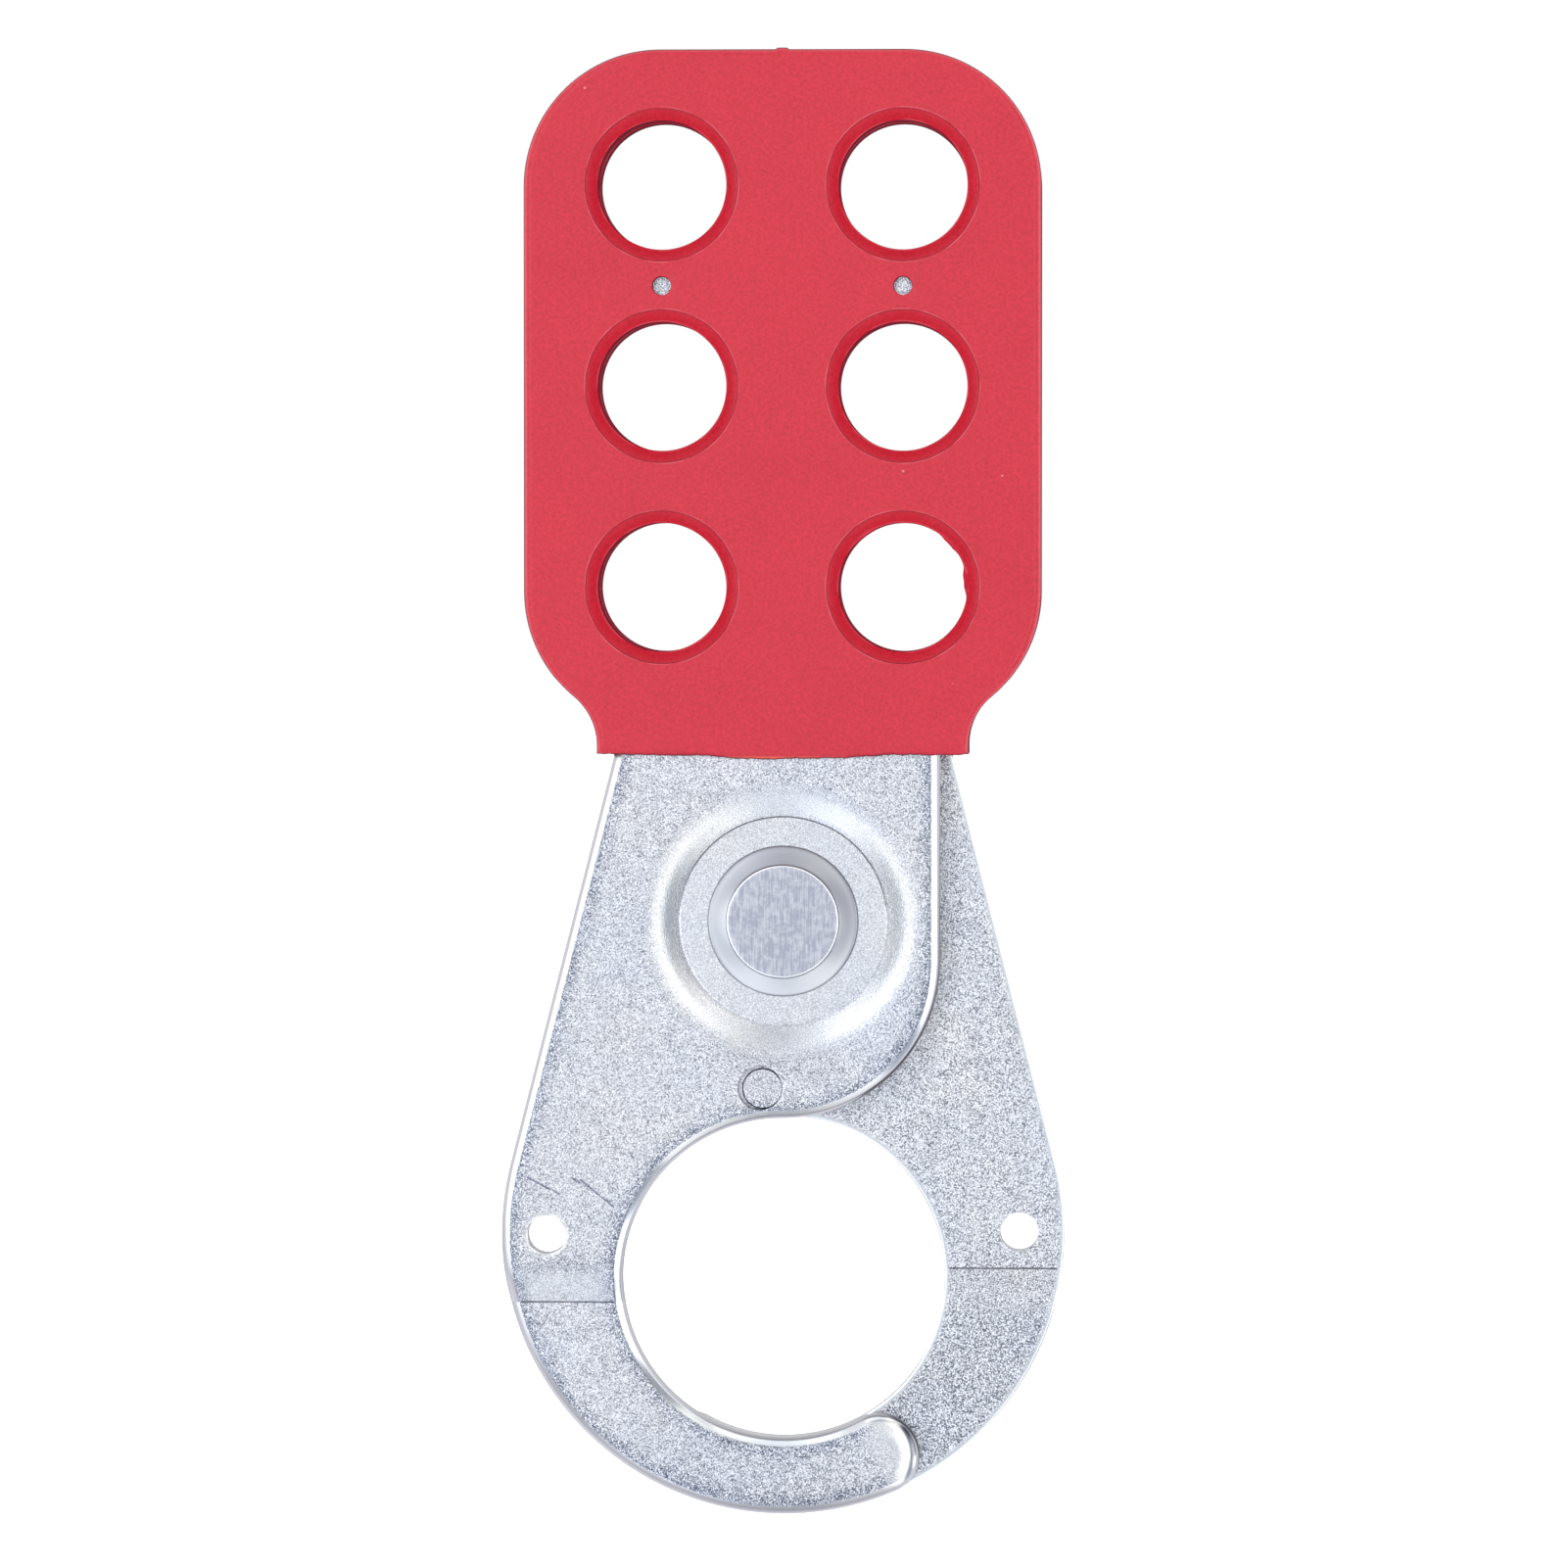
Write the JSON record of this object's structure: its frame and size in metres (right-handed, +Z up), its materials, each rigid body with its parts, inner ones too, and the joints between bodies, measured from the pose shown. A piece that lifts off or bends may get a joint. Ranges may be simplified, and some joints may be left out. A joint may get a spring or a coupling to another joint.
{
  "type": "lockout hasp",
  "caption": "Scissor-jawed lockout hasp: riveted steel jaws that close into a ring, with plastic-covered handles holed for padlocks that hold it shut.",
  "frame": {"origin": "the closed hasp's lowest point, on its centre line, midway between its two halves", "axes": "+Z up from the jaws through the pivot to the handles, -Y out of the front, +X to the right as seen from the front"},
  "size_m": [0.0444, 0.0076, 0.1152],
  "materials": {
    "zinc_plated_steel": "bright zinc over a fine tumbled grain, smooth on its rolled edges",
    "red_plastic": "satin moulded red",
    "rivet_steel": "smooth plated steel, lightly scratched on its flat"
  },
  "bodies": {
    "rear_half": {"rear_jaw_plate": "zinc_plated_steel", "rear_handle_cover": "red_plastic", "pivot_rivet": "rivet_steel"},
    "front_half": {"front_jaw_plate": "zinc_plated_steel", "front_handle_cover": "red_plastic"}
  },
  "joints": [
    {"name": "jaw_pivot", "type": "hinge", "parent": "rear_half", "child": "front_half", "pos_m": [0, 0, 0.0469], "axis": [0, 1, 0], "range_deg": [0, 140]}
  ]
}
